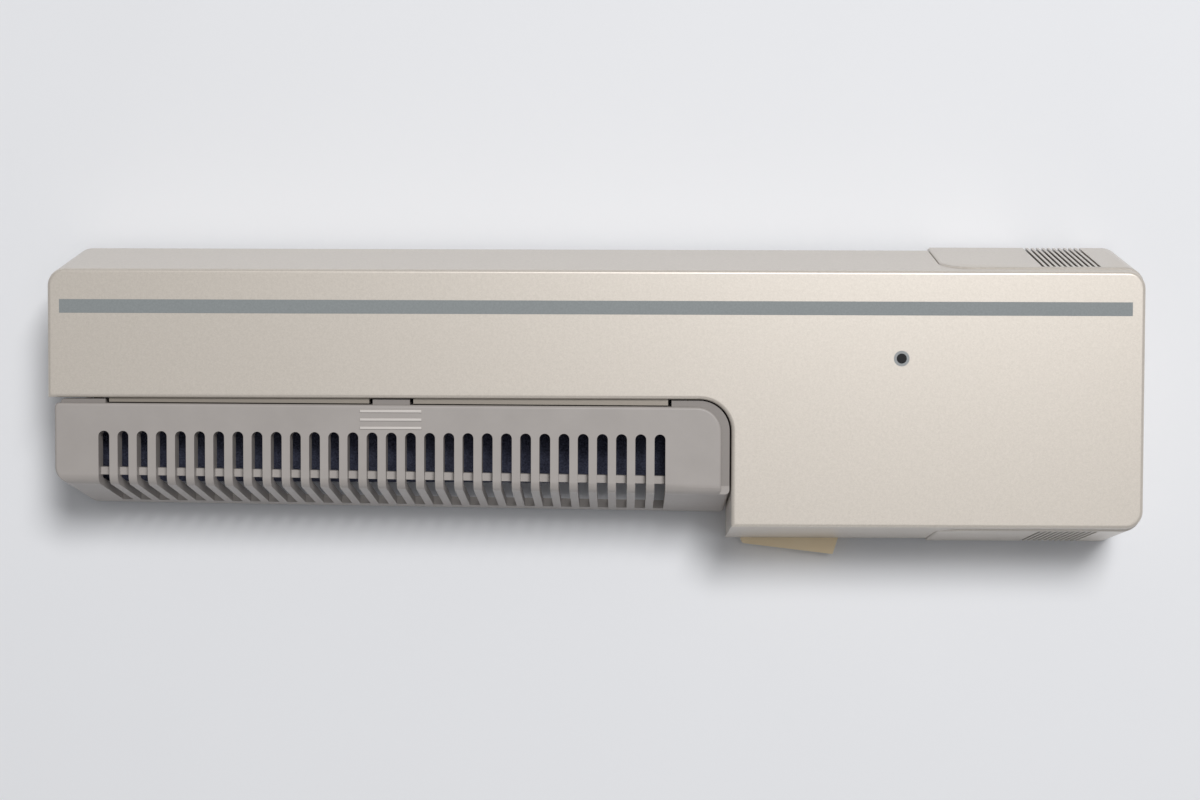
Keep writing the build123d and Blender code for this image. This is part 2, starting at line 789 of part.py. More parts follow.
def gear(teeth, width, x, centre, phase, bore):
    """Spur gear whose left face is at x, round an axis along X."""
    face = gear_face(teeth, phase) - Circle(bore)
    return extrude(across(x, centre[0], centre[1]) * face, width)


def mesh_phase(centre, teeth, phase, other_centre, other_teeth):
    """Phase that sets a second gear's gap over the first one's tooth on the line of centres."""
    line = math.atan2(other_centre[1] - centre[1], other_centre[0] - centre[0])
    offset = (phase - line) % (2 * math.pi / teeth)
    gap = line + math.pi - offset * teeth / other_teeth
    return gap + math.pi / other_teeth


def centre_distance(teeth, other_teeth):
    """Distance between two meshing gears' axes."""
    return gear_module * (teeth + other_teeth) / 2


def transfer_place():
    """Axis that is at the right distance from both the roller's gear and the drive gear."""
    to_brush = centre_distance(transfer_teeth, brush_teeth)
    to_drive = centre_distance(transfer_teeth, drive_teeth)
    run_y = drive_axis_y - brush_y
    run_z = drive_z - brush_z
    span = math.hypot(run_y, run_z)
    along = (to_brush**2 - to_drive**2 + span**2) / (2 * span)
    up = math.sqrt(to_brush**2 - along**2)
    y = brush_y + (along * run_y - up * run_z) / span
    z = brush_z + (along * run_z + up * run_y) / span
    return (y, z)


brush_centre = (brush_y, brush_z)
drive_centre = (drive_axis_y, drive_z)
transfer_centre = transfer_place()
pinion_reach = centre_distance(wheel_teeth, pinion_teeth)
pulley_centre = (
    transfer_centre[0] + pinion_reach * math.cos(math.radians(pinion_bearing)),
    transfer_centre[1] + pinion_reach * math.sin(math.radians(pinion_bearing)),
)
pulley_radius = face_height - wall - pulley_roof_gap - pulley_centre[1]
motor_centre = (motor_axis_y, motor_z)
brush_phase = 0.0
transfer_phase = mesh_phase(brush_centre, brush_teeth, brush_phase, transfer_centre, transfer_teeth)
drive_phase = mesh_phase(transfer_centre, transfer_teeth, transfer_phase, drive_centre, drive_teeth)
wheel_phase = 0.0
pinion_phase = mesh_phase(transfer_centre, wheel_teeth, wheel_phase, pulley_centre, pinion_teeth)


def make_brush_gear():
    return gear(brush_teeth, gear_width, gear_x, brush_centre, brush_phase, axle_radius)


def make_drive_gear():
    return gear(drive_teeth, gear_width, gear_x, drive_centre, drive_phase, axle_radius)


def make_transfer_gear():
    """Compound gear: a wide small wheel between roller and tyre, and the large wheel that drives it."""
    bore = axle_radius + running_gap
    small_x = gear_x - gear_side_gap / 2
    small_width = gear_width + gear_side_gap
    shape = gear(transfer_teeth, small_width, small_x, transfer_centre, transfer_phase, bore)
    shape += gear(wheel_teeth, wheel_width, wheel_x, transfer_centre, wheel_phase, bore)
    return shape + rod(small_x - 0.3, wheel_x + wheel_width + 0.3, *transfer_centre, gear_hub_radius, bore)


def make_belt_pulley():
    """Pinion and flanged belt pulley in one moulding."""
    bore = axle_radius + running_gap
    pinion_x = wheel_x - 0.4
    pinion_width = wheel_width + 0.8
    shape = gear(pinion_teeth, pinion_width, pinion_x, pulley_centre, pinion_phase, bore)
    shape += rod(pinion_x + pinion_width, pulley_x, *pulley_centre, pinion_hub_radius, bore)
    return shape + grooved_pulley(pulley_radius, pulley_centre, bore)


def grooved_pulley(radius, centre, bore):
    """Pulley with a square groove for the belt."""
    wheel = rod(pulley_x, pulley_x + pulley_width, *centre, radius, bore)
    side = (pulley_width - belt_section) / 2 - 0.1
    left = pulley_x + side
    return wheel - rod(left, pulley_x + pulley_width - side, *centre, radius + 1, radius - pulley_groove)


def make_drive_belt():
    """Square rubber belt round the two pulleys."""

    def loop(extra):
        large = Pos(*pulley_centre) * Circle(pulley_radius - pulley_groove + extra)
        small = Pos(*motor_centre) * Circle(motor_pulley_radius - pulley_groove + extra)
        return make_hull([large.edges(), small.edges()])

    x = pulley_x + (pulley_width - belt_section) / 2
    section = loop(belt_gap + belt_section) - loop(belt_gap)
    return extrude(across(x, 0, 0) * section, belt_section)


def make_gear_shafts():
    """Two fixed shafts between the gear plates."""
    right = right_plate_x + plate_sheet
    return [rod(left_plate_x, right, *centre, axle_radius) for centre in (transfer_centre, pulley_centre)]


def sheet_plate(x, corners, holes):
    """Gear plate cut from sheet, with round holes."""
    face = make_face(Polyline(*corners, close=True))
    for y, z, radius in holes:
        face -= Pos(y, z) * Circle(radius)
    return extrude(across(x, 0, 0) * face, plate_sheet)


def make_gear_plate_left():
    top = pulley_centre[1] + plate_margin - 1
    corners = [
        (brush_y - plate_margin, plate_top),
        (pulley_centre[0] + plate_margin, plate_top),
        (pulley_centre[0] + plate_margin, top),
        (transfer_centre[0] - plate_margin, top),
        (brush_y - plate_margin, brush_z + plate_margin),
    ]
    bore = axle_radius + running_gap
    holes = [(*brush_centre, bore), (*drive_centre, bore)]
    holes += [(*transfer_centre, axle_radius), (*pulley_centre, axle_radius)]
    return sheet_plate(left_plate_x, corners, holes)


def make_gear_plate_right():
    top = pulley_centre[1] + plate_margin - 1
    motor_edge = motor_axis_y - motor_radius
    corners = [
        (motor_edge, plate_top),
        (pulley_centre[0] + plate_margin, plate_top),
        (pulley_centre[0] + plate_margin, top),
        (transfer_centre[0] - plate_margin, top),
        (motor_axis_y + motor_radius, motor_z + motor_flat / 2),
        (motor_edge, motor_z + motor_flat / 2),
    ]
    holes = [(*motor_centre, motor_boss_radius)]
    holes += [(*transfer_centre, axle_radius), (*pulley_centre, axle_radius)]
    return sheet_plate(right_plate_x, corners, holes)


# Drive wheel
def make_drive_axle():
    left = drive_post_places()[0] + 0.1
    return rod(left, gear_x + gear_width + axle_end, *drive_centre, axle_radius)


def make_wheel_hub():
    """Wheel with a hub on its inner side, fast on the drive axle."""
    radius = tyre_radius - tyre_thickness
    left = -tyre_track - tyre_width / 2
    right = left + tyre_width
    wheel = rod(left, right, *drive_centre, radius, axle_radius)
    boss_outer = axle_radius + wheel_boss_wall
    return wheel + rod(right - 1, right + wheel_boss, *drive_centre, boss_outer, axle_radius)


def tyre(x_middle, width, centre, radius, thickness):
    """Rubber tyre with bevelled shoulders."""
    left = x_middle - width / 2
    ring = rod(left, left + width, *centre, radius, radius - thickness)
    shoulders = ring.edges().filter_by(GeomType.CIRCLE).sort_by(lambda e: -e.radius)[:2]
    return chamfer(shoulders, thickness * 0.3)


def make_traction_tyre():
    return tyre(-tyre_track, tyre_width, drive_centre, tyre_radius, tyre_thickness)


# Idler wheel
idler_centre = (idler_axis_y, idler_radius)


def make_idler_wheel():
    bore = idler_axle_radius + running_gap
    left = -idler_track - idler_width / 2
    return rod(left, left + idler_width, *idler_centre, idler_radius - idler_tyre_thickness, bore)


def make_idler_tyre():
    return tyre(-idler_track, idler_width, idler_centre, idler_radius, idler_tyre_thickness)


def make_idler_axle():
    return rod(*idler_axle_ends(), *idler_centre, idler_axle_radius)


# Motor
def make_motor_case():
    """Flat-sided case with a stepped nose in the right gear plate."""
    left = right_plate_x + plate_sheet
    case = rod(left, left + motor_length, *motor_centre, motor_radius)
    low = motor_z - motor_flat / 2
    high = motor_z + motor_flat / 2
    near_y = motor_axis_y - motor_radius - 1
    far_y = motor_axis_y + motor_radius + 1
    case &= box(left - past, left + motor_length, near_y, far_y, low, high)
    case = chamfer(case.edges().group_by(Axis.X)[-1], 0.5)
    case += rod(right_plate_x, left + 1, *motor_centre, motor_boss_radius)
    case -= rod(right_plate_x - 1, left + 3, *motor_centre, motor_shaft_radius + running_gap)
    return case


def make_motor_shaft():
    right = right_plate_x + plate_sheet + shaft_in_case
    return rod(pulley_x - 0.3, right, *motor_centre, motor_shaft_radius)


def make_motor_pulley():
    return grooved_pulley(motor_pulley_radius, motor_centre, motor_shaft_radius)


# Battery end
def lid_block(z_low, z_high, inset):
    """The housing's drafted block, widened by what the lid stands proud."""
    return housing_block(z_low, z_high, inset - lid_proud)


def make_battery_lid():
    """Drawer-like end cap: two long sides, the end wall and the floor."""
    outer = lid_block(lid_foot, lid_rim, 0) & lid_zone(0, -past)
    rim = outer.edges().filter_by_position(Axis.Z, lid_rim - 0.01, lid_rim + 0.01)
    outer = chamfer([edge for edge in rim if edge.center().X > lid_start + lid_corner + 0.1], lid_rim_bevel)
    cavity = lid_block(lid_foot + lid_floor, lid_rim + past, lid_wall)
    cavity &= box(lid_start - past, battery_reach + past, side_front(0), side_back(0), 0, face_height)
    return outer - cavity - grip_cutters()


def grip_cutters():
    """Grip grooves down both long sides, which follow the draft."""
    cutters = []
    for k in range(grip_count):
        x = lid_start + grip_start + k * grip_pitch
        for side, y_at in ((-1, side_front), (1, side_back)):
            low = y_at(lid_foot - 1, -lid_proud)
            high = y_at(lid_rim - grip_rim, -lid_proud)
            points = [
                (low + side * past, lid_foot - 1),
                (high + side * past, lid_rim - grip_rim),
                (high - side * grip_depth, lid_rim - grip_rim),
                (low - side * grip_depth, lid_foot - 1),
            ]
            cutters.append(extrude(across(x, 0, 0) * make_face(Polyline(*points, close=True)), grip_width))
    return cutters


def cell_places():
    """X of each cell's axis, with the way its nub points: +1 is the back."""
    return [(cell_x + k * cell_pitch, 1 if k % 2 == 0 else -1) for k in range(cell_count)]


def contact_face_y(side):
    """Y of the contact board's inner face on the front (-1) or back (+1) side."""
    return middle_y + side * board_half


def make_battery_cells():
    """Cells laid across the housing, turned about so that they join in series."""
    shapes = []
    for x, way in cell_places():
        nub_y = contact_face_y(way) - way * contact_sheet
        plane = Plane(origin=(x, nub_y, cell_z), x_dir=(1, 0, 0), z_dir=(0, -way, 0))
        can = extrude(plane.offset(cell_nub) * Circle(cell_radius), cell_length)
        shapes.append(can + extrude(plane * Circle(cell_nub_radius), cell_nub + 0.5))
    return shapes


def make_contact_plates():
    """Sheet contacts on the boards: two join neighbouring cells, two end the row."""
    places = [x for x, _ in cell_places()]
    half = 4.0
    spans = [(1, places[0] - half, places[1] + half), (1, places[2] - half, places[2] + half)]
    spans += [(-1, places[0] - half, places[0] + half), (-1, places[1] - half, places[2] + half)]
    shapes = []
    for side, left, right in spans:
        outer = contact_face_y(side)
        inner = outer - side * contact_sheet
        low = board_top - contact_height
        shapes.append(box(left, right, min(outer, inner), max(outer, inner), low, board_top - 0.3))
    return shapes


def make_contact_springs():
    """Bowed leaf springs between the plates and the cells' flat ends."""
    shapes = []
    for x, way in cell_places():
        base = contact_face_y(-way) + way * contact_sheet
        rise = spring_depth - spring_slack
        foot = way * leaf_sheet
        arc = ThreePointArc((-spring_half, 0), (0, way * (rise - leaf_sheet)), (spring_half, 0))
        outer = ThreePointArc((-spring_half, foot), (0, way * rise), (spring_half, foot))
        ends = [Line((end, 0), (end, foot)) for end in (-spring_half, spring_half)]
        leaf = make_face([arc, outer] + ends)
        shapes.append(extrude(Pos(x, base, cell_z - spring_width / 2 - spring_slack) * leaf, spring_width))
    return shapes


# Switch
def lever_plan():
    """Outline of the lever: a wedge that sticks out under the shell's edge."""
    left = -lever_left
    right = left + lever_length
    inner = lever_edge_y + lever_root
    return [
        (left, lever_edge_y - lever_reach_left),
        (right - lever_slant, lever_edge_y - lever_reach_right),
        (right, lever_edge_y),
        (right, inner),
        (left, inner),
    ]


def make_switch_lever():
    radii = [lever_nose_radius, 0.3, 0.2, 0.8, 1.2]
    plan = make_face(FilletPolyline(*lever_plan(), radius=radii, close=True))
    lever = extrude(Pos(0, 0, lever_low) * plan, lever_top - lever_low)
    lever += post(pivot_x, pivot_y, lever_low, lever_top, pivot_eye_radius)
    lever -= post(pivot_x, pivot_y, 0, lever_top + 1, pivot_radius + running_gap)
    left = finger_x - finger_width / 2
    back = lever_edge_y + lever_root - 0.1
    top = plate_top + finger_height
    return lever + box(left, left + finger_width, back - finger_thickness, back, lever_top - 0.5, top)


def make_lever_pivot_pin():
    head_low = lever_low - pivot_head - 0.05
    head = post(pivot_x, pivot_y, head_low, head_low + pivot_head, pivot_radius + 0.9)
    return head + post(pivot_x, pivot_y, head_low, pin_top, pivot_radius)


def make_lever_spring():
    """Coil round the pin above the lever."""
    pitch = (spring_room - spring_wire - 0.3) / spring_turns
    path = Helix(pitch=pitch, height=pitch * spring_turns, radius=spring_radius)
    section = Plane(origin=path @ 0, z_dir=path % 0) * Rectangle(spring_wire, spring_wire)
    coil = sweep(section, path=path, is_frenet=True)
    return Pos(pivot_x, pivot_y, lever_top + spring_wire / 2 + 0.1) * coil


def make_leaf_switch():
    """Insulating block and two contact leaves that the lever's finger closes."""
    travel = (finger_x - pivot_x) * math.sin(math.radians(lever_travel))
    leaf_y = lever_edge_y + lever_root + travel + switch_gap
    left = finger_x - 5.0
    right = left + 2.2
    body = box(left, right, leaf_y, leaf_y + switch_block, plate_top, plate_top + switch_height)
    leaves = []
    for y in (leaf_y, leaf_y + switch_block - leaf_sheet):
        leaves.append(box(right, finger_x + 1.5, y, y + leaf_sheet, plate_top + 1.6, plate_top + 3.8))
    return body + leaves


pieces = {
    "top_shell": make_top_shell,
    "base_plate": make_base_plate,
    "housing_screws": make_housing_screws,
    "spindle_hub": make_spindle_hub,
    "brush_cover": make_brush_cover,
    "brush_core": make_brush_core,
    "brush_velvet": make_brush_velvet,
    "brush_axle": make_brush_axle,
    "brush_gear": make_brush_gear,
    "drive_axle": make_drive_axle,
    "wheel_hub": make_wheel_hub,
    "traction_tyre": make_traction_tyre,
    "drive_gear": make_drive_gear,
    "transfer_gear": make_transfer_gear,
    "belt_pulley": make_belt_pulley,
    "drive_belt": make_drive_belt,
    "gear_shafts": make_gear_shafts,
    "gear_plate_left": make_gear_plate_left,
    "gear_plate_right": make_gear_plate_right,
    "idler_wheel": make_idler_wheel,
    "idler_tyre": make_idler_tyre,
    "idler_axle": make_idler_axle,
    "motor_case": make_motor_case,
    "motor_shaft": make_motor_shaft,
    "motor_pulley": make_motor_pulley,
    "battery_lid": make_battery_lid,
    "battery_cells": make_battery_cells,
    "contact_plates": make_contact_plates,
    "contact_springs": make_contact_springs,
    "switch_lever": make_switch_lever,
    "lever_pivot_pin": make_lever_pivot_pin,
    "lever_spring": make_lever_spring,
    "leaf_switch": make_leaf_switch,
}

os.makedirs("parts", exist_ok=True)
for name, make in pieces.items():
    shape = make()
    if isinstance(shape, list):
        shape = Compound(children=shape)
    export_step(shape, f"parts/{name}.step")
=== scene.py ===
import json
import logging
import math
from dataclasses import dataclass
from enum import Enum

import bmesh
import bpy
import numpy as np
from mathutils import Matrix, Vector


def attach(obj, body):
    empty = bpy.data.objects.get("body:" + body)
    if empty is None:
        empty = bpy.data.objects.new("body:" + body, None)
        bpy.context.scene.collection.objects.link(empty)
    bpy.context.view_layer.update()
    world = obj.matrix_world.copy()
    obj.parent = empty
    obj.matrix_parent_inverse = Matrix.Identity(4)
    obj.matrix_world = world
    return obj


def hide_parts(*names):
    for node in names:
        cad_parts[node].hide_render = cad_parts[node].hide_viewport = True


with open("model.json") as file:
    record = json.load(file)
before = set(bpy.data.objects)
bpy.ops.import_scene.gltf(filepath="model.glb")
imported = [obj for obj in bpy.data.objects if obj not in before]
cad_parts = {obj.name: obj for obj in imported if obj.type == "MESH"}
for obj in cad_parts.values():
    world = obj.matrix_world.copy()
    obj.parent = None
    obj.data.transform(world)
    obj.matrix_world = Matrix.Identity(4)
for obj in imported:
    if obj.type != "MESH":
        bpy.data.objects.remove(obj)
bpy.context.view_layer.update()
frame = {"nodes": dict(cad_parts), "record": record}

# A self-propelled record cleaner that lies face up: +X to the battery end, +Y to the plain long
# side, +Z to the camera. Sizes are in millimetres until they enter a mesh or a material.

MM = 0.001
FULL_TURN = 2.0 * math.pi
log = logging.getLogger("record_cleaner")

Colour = tuple[int, int, int]
Place = tuple[float, float, float]
Span = tuple[float, float]
Socket = bpy.types.NodeSocket
Surface = tuple[np.ndarray, np.ndarray]  # points, and quads of their numbers


class Grain(Enum):
    """How a finish's fine pattern lies on the piece."""

    EVEN = (1.0, 1.0, 1.0)
    ALONG_X = (0.04, 1.0, 1.0)
    ROUND_X = (1.0, 0.06, 0.06)


@dataclass(frozen=True)
class Band:
    """Box in object coordinates, in millimetres, inside which a finish has another colour. Its Y
    is measured as y + lean z, so that it can follow a leaning side."""

    x: Span
    y: Span
    z: Span
    colour: Colour
    lean: float = 0.0


def linear(colour: Colour) -> tuple[float, float, float, float]:
    """Turns an 8-bit screen colour into the linear colour that shaders take, by the sRGB curve: a
    share s of full brightness becomes s / 12.92 near black, and ((s + 0.055) / 1.055) to the power
    2.4 above.

    Args:
        colour: red, green and blue from 0 to 255.

    Returns:
        Linear red, green and blue, with full opacity.
    """
    share = np.array(colour, float) / 255.0
    value = np.where(share <= 0.04045, share / 12.92, ((share + 0.055) / 1.055) ** 2.4)
    return (float(value[0]), float(value[1]), float(value[2]), 1.0)


# Shader building

CLOUD_SPAN = (0.3, 0.7)  # cloudy noise seldom goes beyond it
FULL_SPAN = (0.0, 1.0)


class ShaderTree:
    """A material with one Principled shader, and short calls for the nodes that feed it."""

    def __init__(self, name: str, **settings: float | tuple[float, ...]) -> None:
        """Starts the material.

        Args:
            name: the material's name.
            settings: the shader's constant inputs, named with underscores for blanks.
        """
        self.material = bpy.data.materials.new(name)
        self.material.use_nodes = True
        self.tree = self.material.node_tree
        self.tree.nodes.clear()
        output = self.tree.nodes.new("ShaderNodeOutputMaterial")
        self.surface = self.tree.nodes.new("ShaderNodeBsdfPrincipled")
        self.link(self.surface.outputs["BSDF"], output.inputs["Surface"])
        for setting, value in settings.items():
            self.surface.inputs[setting.replace("_", " ")].default_value = value
        self.place = self.tree.nodes.new("ShaderNodeTexCoord").outputs["Object"]

    def link(self, source: Socket, target: Socket) -> None:
        """Joins an output to an input."""
        self.tree.links.new(source, target)

    def grain(self, grain: Grain) -> Socket:
        """Object coordinates stretched so that a pattern follows the grain.

        Args:
            grain: the pattern's direction.

        Returns:
            The stretched coordinates.
        """
        mapping = self.tree.nodes.new("ShaderNodeMapping")
        mapping.inputs["Scale"].default_value = grain.value
        self.link(self.place, mapping.inputs["Vector"])
        return mapping.outputs["Vector"]

    def noise(self, size_mm: float, octaves: float, grain: Grain = Grain.EVEN) -> Socket:
        """Cloudy noise.

        Args:
            size_mm: rough size of one cloud.
            octaves: how many finer noises lie in it.
            grain: direction that the clouds are drawn out in.

        Returns:
            The noise, from 0 to 1.
        """
        node = self.tree.nodes.new("ShaderNodeTexNoise")
        node.inputs["Scale"].default_value = 1.0 / (size_mm * MM)
        node.inputs["Detail"].default_value = octaves
        self.link(self.grain(grain), node.inputs["Vector"])
        return node.outputs["Fac"]

    def flakes(self, size_mm: float) -> Socket:
        """Cells with a random value each, as metal flakes have.

        Args:
            size_mm: size of one flake.

        Returns:
            One random value per flake.
        """
        node = self.tree.nodes.new("ShaderNodeTexVoronoi")
        node.inputs["Scale"].default_value = 1.0 / (size_mm * MM)
        self.link(self.place, node.inputs["Vector"])
        split = self.tree.nodes.new("ShaderNodeSeparateColor")
        self.link(node.outputs["Color"], split.inputs["Color"])
        return split.outputs["Red"]

    def blend(self, value: Socket, low: Colour, high: Colour, span: Span = CLOUD_SPAN) -> Socket:
        """Colour that runs from one to another as a value rises.

        Args:
            value: the value that is followed.
            low: colour at the span's start.
            high: colour at the span's end.
            span: values at which the blend starts and ends.

        Returns:
            The colour.
        """
        ramp = self.tree.nodes.new("ShaderNodeValToRGB")
        for stop, place, colour in zip(ramp.color_ramp.elements, span, (low, high)):
            stop.position = place
            stop.color = linear(colour)
        self.link(value, ramp.inputs["Fac"])
        return ramp.outputs["Color"]

    def layer(self, under: Socket, over: Socket | Colour, share: Socket | float) -> Socket:
        """Lays one colour over another.

        Args:
            under: the lower colour.
            over: the upper colour.
            share: how far the upper one covers.

        Returns:
            The mixed colour.
        """
        node = self.tree.nodes.new("ShaderNodeMix")
        node.data_type = "RGBA"
        self.link(under, node.inputs["A"])
        if isinstance(over, tuple):
            node.inputs["B"].default_value = linear(over)
        else:
            self.link(over, node.inputs["B"])
        if isinstance(share, float):
            node.inputs["Factor"].default_value = share
        else:
            self.link(share, node.inputs["Factor"])
        return node.outputs["Result"]

    def step(self, work: str, *values: Socket | float) -> Socket:
        """One step of arithmetic.

        Args:
            work: Blender's name for it.
            values: outputs or numbers that it works on.

        Returns:
            Its result.
        """
        node = self.tree.nodes.new("ShaderNodeMath")
        node.operation = work
        for target, value in zip(node.inputs, values):
            if isinstance(value, float):
                target.default_value = value
            else:
                self.link(value, target)
        return node.outputs["Value"]

    def with_bands(self, colour: Socket, bands: tuple[Band, ...]) -> Socket:
        """Lays each band's colour over another where the point lies in the band's box.

        Args:
            colour: the colour elsewhere.
            bands: the boxes and their colours.

        Returns:
            The mixed colour.
        """
        for band in bands:
            split = self.tree.nodes.new("ShaderNodeSeparateXYZ")
            self.link(self.place, split.inputs["Vector"])
            x, y, z = (split.outputs[axis] for axis in "XYZ")
            upright = self.step("MULTIPLY_ADD", z, band.lean, y)
            inside = 1.0
            for value, (low, high) in ((x, band.x), (upright, band.y), (z, band.z)):
                middle, half = 0.5 * (low + high) * MM, 0.5 * (high - low) * MM
                part = self.step("COMPARE", value, middle, half)
                inside = self.step("MULTIPLY", part, inside)
            colour = self.layer(colour, band.colour, inside)
        return colour

    def carry(self, value: Socket, low: float, high: float) -> Socket:
        """Carries a value from 0..1 to a new range.

        Args:
            value: the value.
            low: what 0 becomes.
            high: what 1 becomes.

        Returns:
            The new value.
        """
        node = self.tree.nodes.new("ShaderNodeMapRange")
        node.inputs["To Min"].default_value = low
        node.inputs["To Max"].default_value = high
        self.link(value, node.inputs["Value"])
        return node.outputs["Result"]

    def bump(self, height: Socket, depth_mm: float, strength: float) -> None:
        """Gives the surface a fine relief.

        Args:
            height: the relief's height, from 0 to 1.
            depth_mm: height of 1 in millimetres.
            strength: how strongly it shows.
        """
        node = self.tree.nodes.new("ShaderNodeBump")
        node.inputs["Strength"].default_value = strength
        node.inputs["Distance"].default_value = depth_mm * MM
        self.link(height, node.inputs["Height"])
        self.link(node.outputs["Normal"], self.surface.inputs["Normal"])

    def paint(self, colour: Socket) -> None:
        """Sends a colour to the shader."""
        self.link(colour, self.surface.inputs["Base Color"])

    def dull(self, roughness: Socket) -> None:
        """Sends a varying roughness to the shader."""
        self.link(roughness, self.surface.inputs["Roughness"])


# Finishes

SIDE_LEAN = 0.1835  # how far the long sides lean in per millimetre of height
GRIP_X = (26.0, 36.8)  # first grip groove's start to the last one's end
GRIP_Z = (1.0, 23.8)
RECESS_SHADE_TONE = (150, 142, 132)  # painted shade on the groove beside the cover
# painted shade in the lid's grip grooves
GRIP_SHADE_TONE = (112, 107, 102)
# painted shade on the cover's flange, sunk below its face
FLANGE_SHADE_TONE = (140, 134, 130)
RIDGE_HIGHLIGHT_TONE = (206, 200, 195)  # painted highlight on the tops of the thumb's ridges
FLANGE_Z = (25.2, 26.3)
FLANGE_CORNER = -37.2  # X at which the flange turns down the cover's right end


@dataclass(frozen=True)
class SilverPaint:
    """Champagne paint with fine metal flakes."""

    name: str = "champagne_paint"
    light: Colour = (211, 203, 193)
    dark: Colour = (200, 192, 182)
    roughness: float = 0.36
    metallic: float = 0.25
    coat: float = 0.2
    coat_roughness: float = 0.18
    cloud_mm: float = 0.6
    cloud_octaves: float = 3.0
    flake_mm: float = 0.2
    flake_share: float = 0.65
    relief_mm: float = 0.16
    relief_depth_mm: float = 0.004
    relief_strength: float = 0.25
    bands: tuple[Band, ...] = (
        # painted shade in the groove between the arm and the cover
        Band((-160.0, -30.0), (-9.4, -7.62), (24.5, 26.2), RECESS_SHADE_TONE),
        # painted shade in the grip grooves on both leaning sides of the lid
        Band(GRIP_X, (20.0, 20.95), GRIP_Z, GRIP_SHADE_TONE, SIDE_LEAN),
        Band(GRIP_X, (-35.95, -35.0), GRIP_Z, GRIP_SHADE_TONE, -SIDE_LEAN),
    )

    def material(self) -> bpy.types.Material:
        """Flakes and soft clouds of tone under a satin coat, with painted shade in the groove
        beside the cover and in the grip grooves.

        Returns:
            The material.
        """
        shader = ShaderTree(
            self.name,
            Roughness=self.roughness,
            Metallic=self.metallic,
            Coat_Weight=self.coat,
            Coat_Roughness=self.coat_roughness,
        )
        flakes = shader.blend(shader.flakes(self.flake_mm), self.dark, self.light, FULL_SPAN)
        cloud = shader.noise(self.cloud_mm, self.cloud_octaves)
        colour = shader.layer(shader.blend(cloud, self.dark, self.light), flakes, self.flake_share)
        shader.paint(shader.with_bands(colour, self.bands))
        relief = shader.flakes(self.relief_mm)
        shader.bump(relief, self.relief_depth_mm, self.relief_strength)
        return shader.material


@dataclass(frozen=True)
class MouldedPlastic:
    """Injection-moulded plastic with a spark-eroded skin."""

    name: str
    light: Colour
    dark: Colour
    roughness: float
    bands: tuple[Band, ...] = ()
    specular: float = 0.45
    cloud_mm: float = 6.0
    cloud_octaves: float = 4.0
    worn_mm: float = 1.2
    worn_octaves: float = 3.0
    worn_smoother: float = 0.05
    worn_rougher: float = 0.08
    skin_mm: float = 0.12
    skin_octaves: float = 2.0
    skin_depth_mm: float = 0.006
    skin_strength: float = 0.5

    def material(self) -> bpy.types.Material:
        """Soft clouds of tone, and a fine even skin.

        Returns:
            The material.
        """
        shader = ShaderTree(self.name, Specular_IOR_Level=self.specular)
        cloud = shader.noise(self.cloud_mm, self.cloud_octaves)
        colour = shader.blend(cloud, self.dark, self.light)
        shader.paint(shader.with_bands(colour, self.bands))
        worn = shader.noise(self.worn_mm, self.worn_octaves)
        smoothest = self.roughness - self.worn_smoother
        roughest = self.roughness + self.worn_rougher
        shader.dull(shader.carry(worn, smoothest, roughest))
        skin = shader.noise(self.skin_mm, self.skin_octaves)
        shader.bump(skin, self.skin_depth_mm, self.skin_strength)
        return shader.material


@dataclass(frozen=True)
class VelvetPile:
    """Short dense pile, dark in its depth and lighter at the tips."""

    name: str = "navy_velvet"
    tip: Colour = (104, 108, 130)
    root: Colour = (54, 56, 73)
    roughness: float = 0.95
    specular: float = 0.1
    sheen: float = 0.12
    sheen_roughness: float = 0.4
    sheen_tint: Colour = (120, 124, 150)
    tuft_mm: float = 0.35
    tuft_octaves: float = 4.0
    tuft_depth_mm: float = 0.25
    tuft_strength: float = 0.8
    stroke_mm: float = 5.0
    stroke_octaves: float = 2.0
    stroke_share: float = 0.35

    def material(self) -> bpy.types.Material:
        """Tufts of tone and relief, and brush strokes, under a soft sheen.

        Returns:
            The material.
        """
        shader = ShaderTree(
            self.name,
            Roughness=self.roughness,
            Specular_IOR_Level=self.specular,
            Sheen_Weight=self.sheen,
            Sheen_Roughness=self.sheen_roughness,
            Sheen_Tint=linear(self.sheen_tint),
        )
        tufts = shader.noise(self.tuft_mm, self.tuft_octaves)
        strokes = shader.noise(self.stroke_mm, self.stroke_octaves)
        tuft_colour = shader.blend(tufts, self.root, self.tip)
        stroke_colour = shader.blend(strokes, self.root, self.tip)
        shader.paint(shader.layer(tuft_colour, stroke_colour, self.stroke_share))
        shader.bump(tufts, self.tuft_depth_mm, self.tuft_strength)
        return shader.material


@dataclass(frozen=True)
class SheetMetal:
    """Bare metal with the fine lines of rolling or turning."""

    name: str
    light: Colour
    dark: Colour
    roughness: float
    grain: Grain = Grain.EVEN
    line_mm: float = 0.3
    line_octaves: float = 3.0
    line_smoother: float = 0.08
    line_rougher: float = 0.1
    line_depth_mm: float = 0.004
    line_strength: float = 0.3

    def material(self) -> bpy.types.Material:
        """Lines of tone and of dullness along the grain.

        Returns:
            The material.
        """
        shader = ShaderTree(self.name, Metallic=1.0)
        lines = shader.noise(self.line_mm, self.line_octaves, self.grain)
        shader.paint(shader.blend(lines, self.dark, self.light))
        smoothest = self.roughness - self.line_smoother
        roughest = self.roughness + self.line_rougher
        shader.dull(shader.carry(lines, smoothest, roughest))
        shader.bump(lines, self.line_depth_mm, self.line_strength)
        return shader.material


